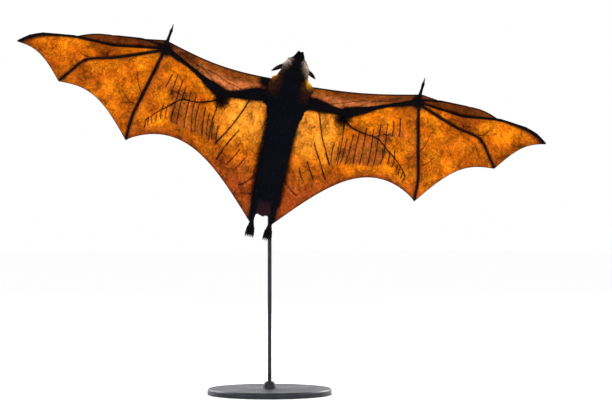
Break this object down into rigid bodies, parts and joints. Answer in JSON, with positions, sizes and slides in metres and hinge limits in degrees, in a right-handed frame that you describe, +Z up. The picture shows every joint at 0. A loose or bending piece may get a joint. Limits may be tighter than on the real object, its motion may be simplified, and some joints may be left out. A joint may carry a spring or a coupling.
{
  "type": "flying fox bat",
  "caption": "Life-size flying fox in open-winged flight, dark body, golden neck, pale cheeks and amber wings, on a round display stand.",
  "frame": {"origin": "centre of the stand's underside", "axes": "+Z up, -Y the way the belly faces, +X toward the bat's own left wing"},
  "size_m": [1.0675, 0.2525, 0.7395],
  "materials": {
    "dark_fur": "dense matt blackish-brown fur",
    "golden_fur": "soft golden-yellow fur of the neck and mantle",
    "pale_fur": "short grey-beige fur of the cheeks and brow",
    "wing_skin": "thin amber wing skin that lets light through",
    "bare_skin": "fine dark leathery skin of fingers, feet, ears and nose",
    "horn": "dark polished claw horn",
    "eye": "wet glossy red-brown eye",
    "stand_steel": "turned steel, blackened and waxed"
  },
  "bodies": {
    "root": {"trunk": "dark_fur", "neck": "golden_fur", "head": "pale_fur", "tail_membrane": "dark_fur", "ear_left": "bare_skin", "eye_left": "eye", "upper_arm_left": "dark_fur", "forearm_left": "dark_fur", "thumb_left": "bare_skin", "thumb_claw_left": "horn", "digit_2_left": "bare_skin", "digit_3_left": "bare_skin", "digit_4_left": "bare_skin", "digit_5_left": "bare_skin", "thumb_web_left": "wing_skin", "propatagium_left": "wing_skin", "membrane_2_3_left": "wing_skin", "membrane_3_4_left": "wing_skin", "membrane_4_5_left": "wing_skin", "plagiopatagium_left": "wing_skin", "thigh_left": "dark_fur", "shin_left": "dark_fur", "foot_left": "bare_skin", "ear_right": "bare_skin", "eye_right": "eye", "upper_arm_right": "dark_fur", "forearm_right": "dark_fur", "thumb_right": "bare_skin", "thumb_claw_right": "horn", "digit_2_right": "bare_skin", "digit_3_right": "bare_skin", "digit_4_right": "bare_skin", "digit_5_right": "bare_skin", "thumb_web_right": "wing_skin", "propatagium_right": "wing_skin", "membrane_2_3_right": "wing_skin", "membrane_3_4_right": "wing_skin", "membrane_4_5_right": "wing_skin", "plagiopatagium_right": "wing_skin", "thigh_right": "dark_fur", "shin_right": "dark_fur", "foot_right": "bare_skin", "stand_base": "stand_steel", "stand_rod": "stand_steel"}
  },
  "joints": []
}
